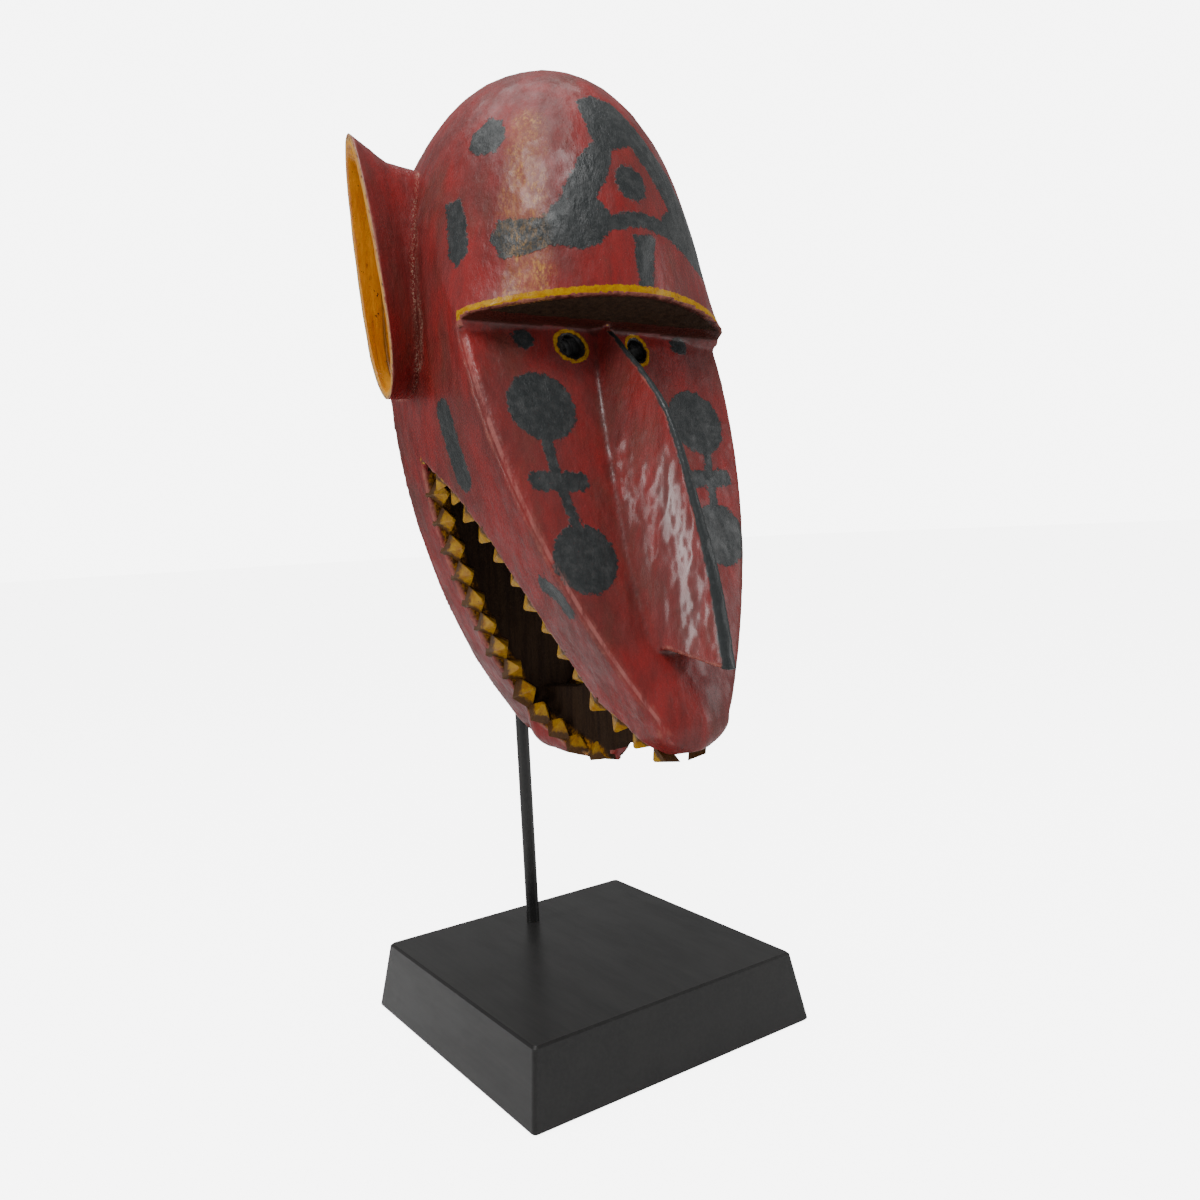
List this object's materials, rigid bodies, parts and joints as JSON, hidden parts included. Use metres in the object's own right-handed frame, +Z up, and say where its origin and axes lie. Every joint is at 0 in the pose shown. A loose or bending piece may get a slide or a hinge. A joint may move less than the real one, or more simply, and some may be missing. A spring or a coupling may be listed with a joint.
{
  "type": "carved animal mask on a display stand",
  "caption": "Carved and painted wooden animal mask with domed brow, cup ears, long nose and toothed open jaw, hung from an arm on a steel post and square wooden plinth.",
  "frame": {"origin": "on the surface the stand rests on, under the middle of the plinth", "axes": "+Z up; the face looks along -Y; +X towards the mask's own left ear; the mask is symmetric about X = 0"},
  "size_m": [0.27, 0.292, 0.6706],
  "materials": {
    "painted_wood": "glossy worn paint",
    "bare_wood": "bare",
    "plinth_paint": "satin black paint",
    "black_steel": "satin black",
    "zinc_steel": "plated",
    "sleeve_rubber": "matt",
    "felt": "felt"
  },
  "bodies": {
    "stand": {"felt_base": "felt", "plinth": "plinth_paint", "base_washer": "zinc_steel", "base_bolt": "zinc_steel", "post": "black_steel", "hook_arm": "black_steel", "arm_sleeve": "sleeve_rubber", "spreader_bar": "black_steel", "spreader_pads": "felt"},
    "mask": {"mask_head": "painted_wood", "ear_left": "painted_wood", "ear_right": "painted_wood", "ear_dowels_left": "bare_wood", "ear_dowels_right": "bare_wood"}
  },
  "joints": [
    {"name": "mask_lift_off", "type": "slide", "parent": "stand", "child": "mask", "axis": [0, -0.9703, 0.2419], "range_m": [0, 0.11]}
  ]
}
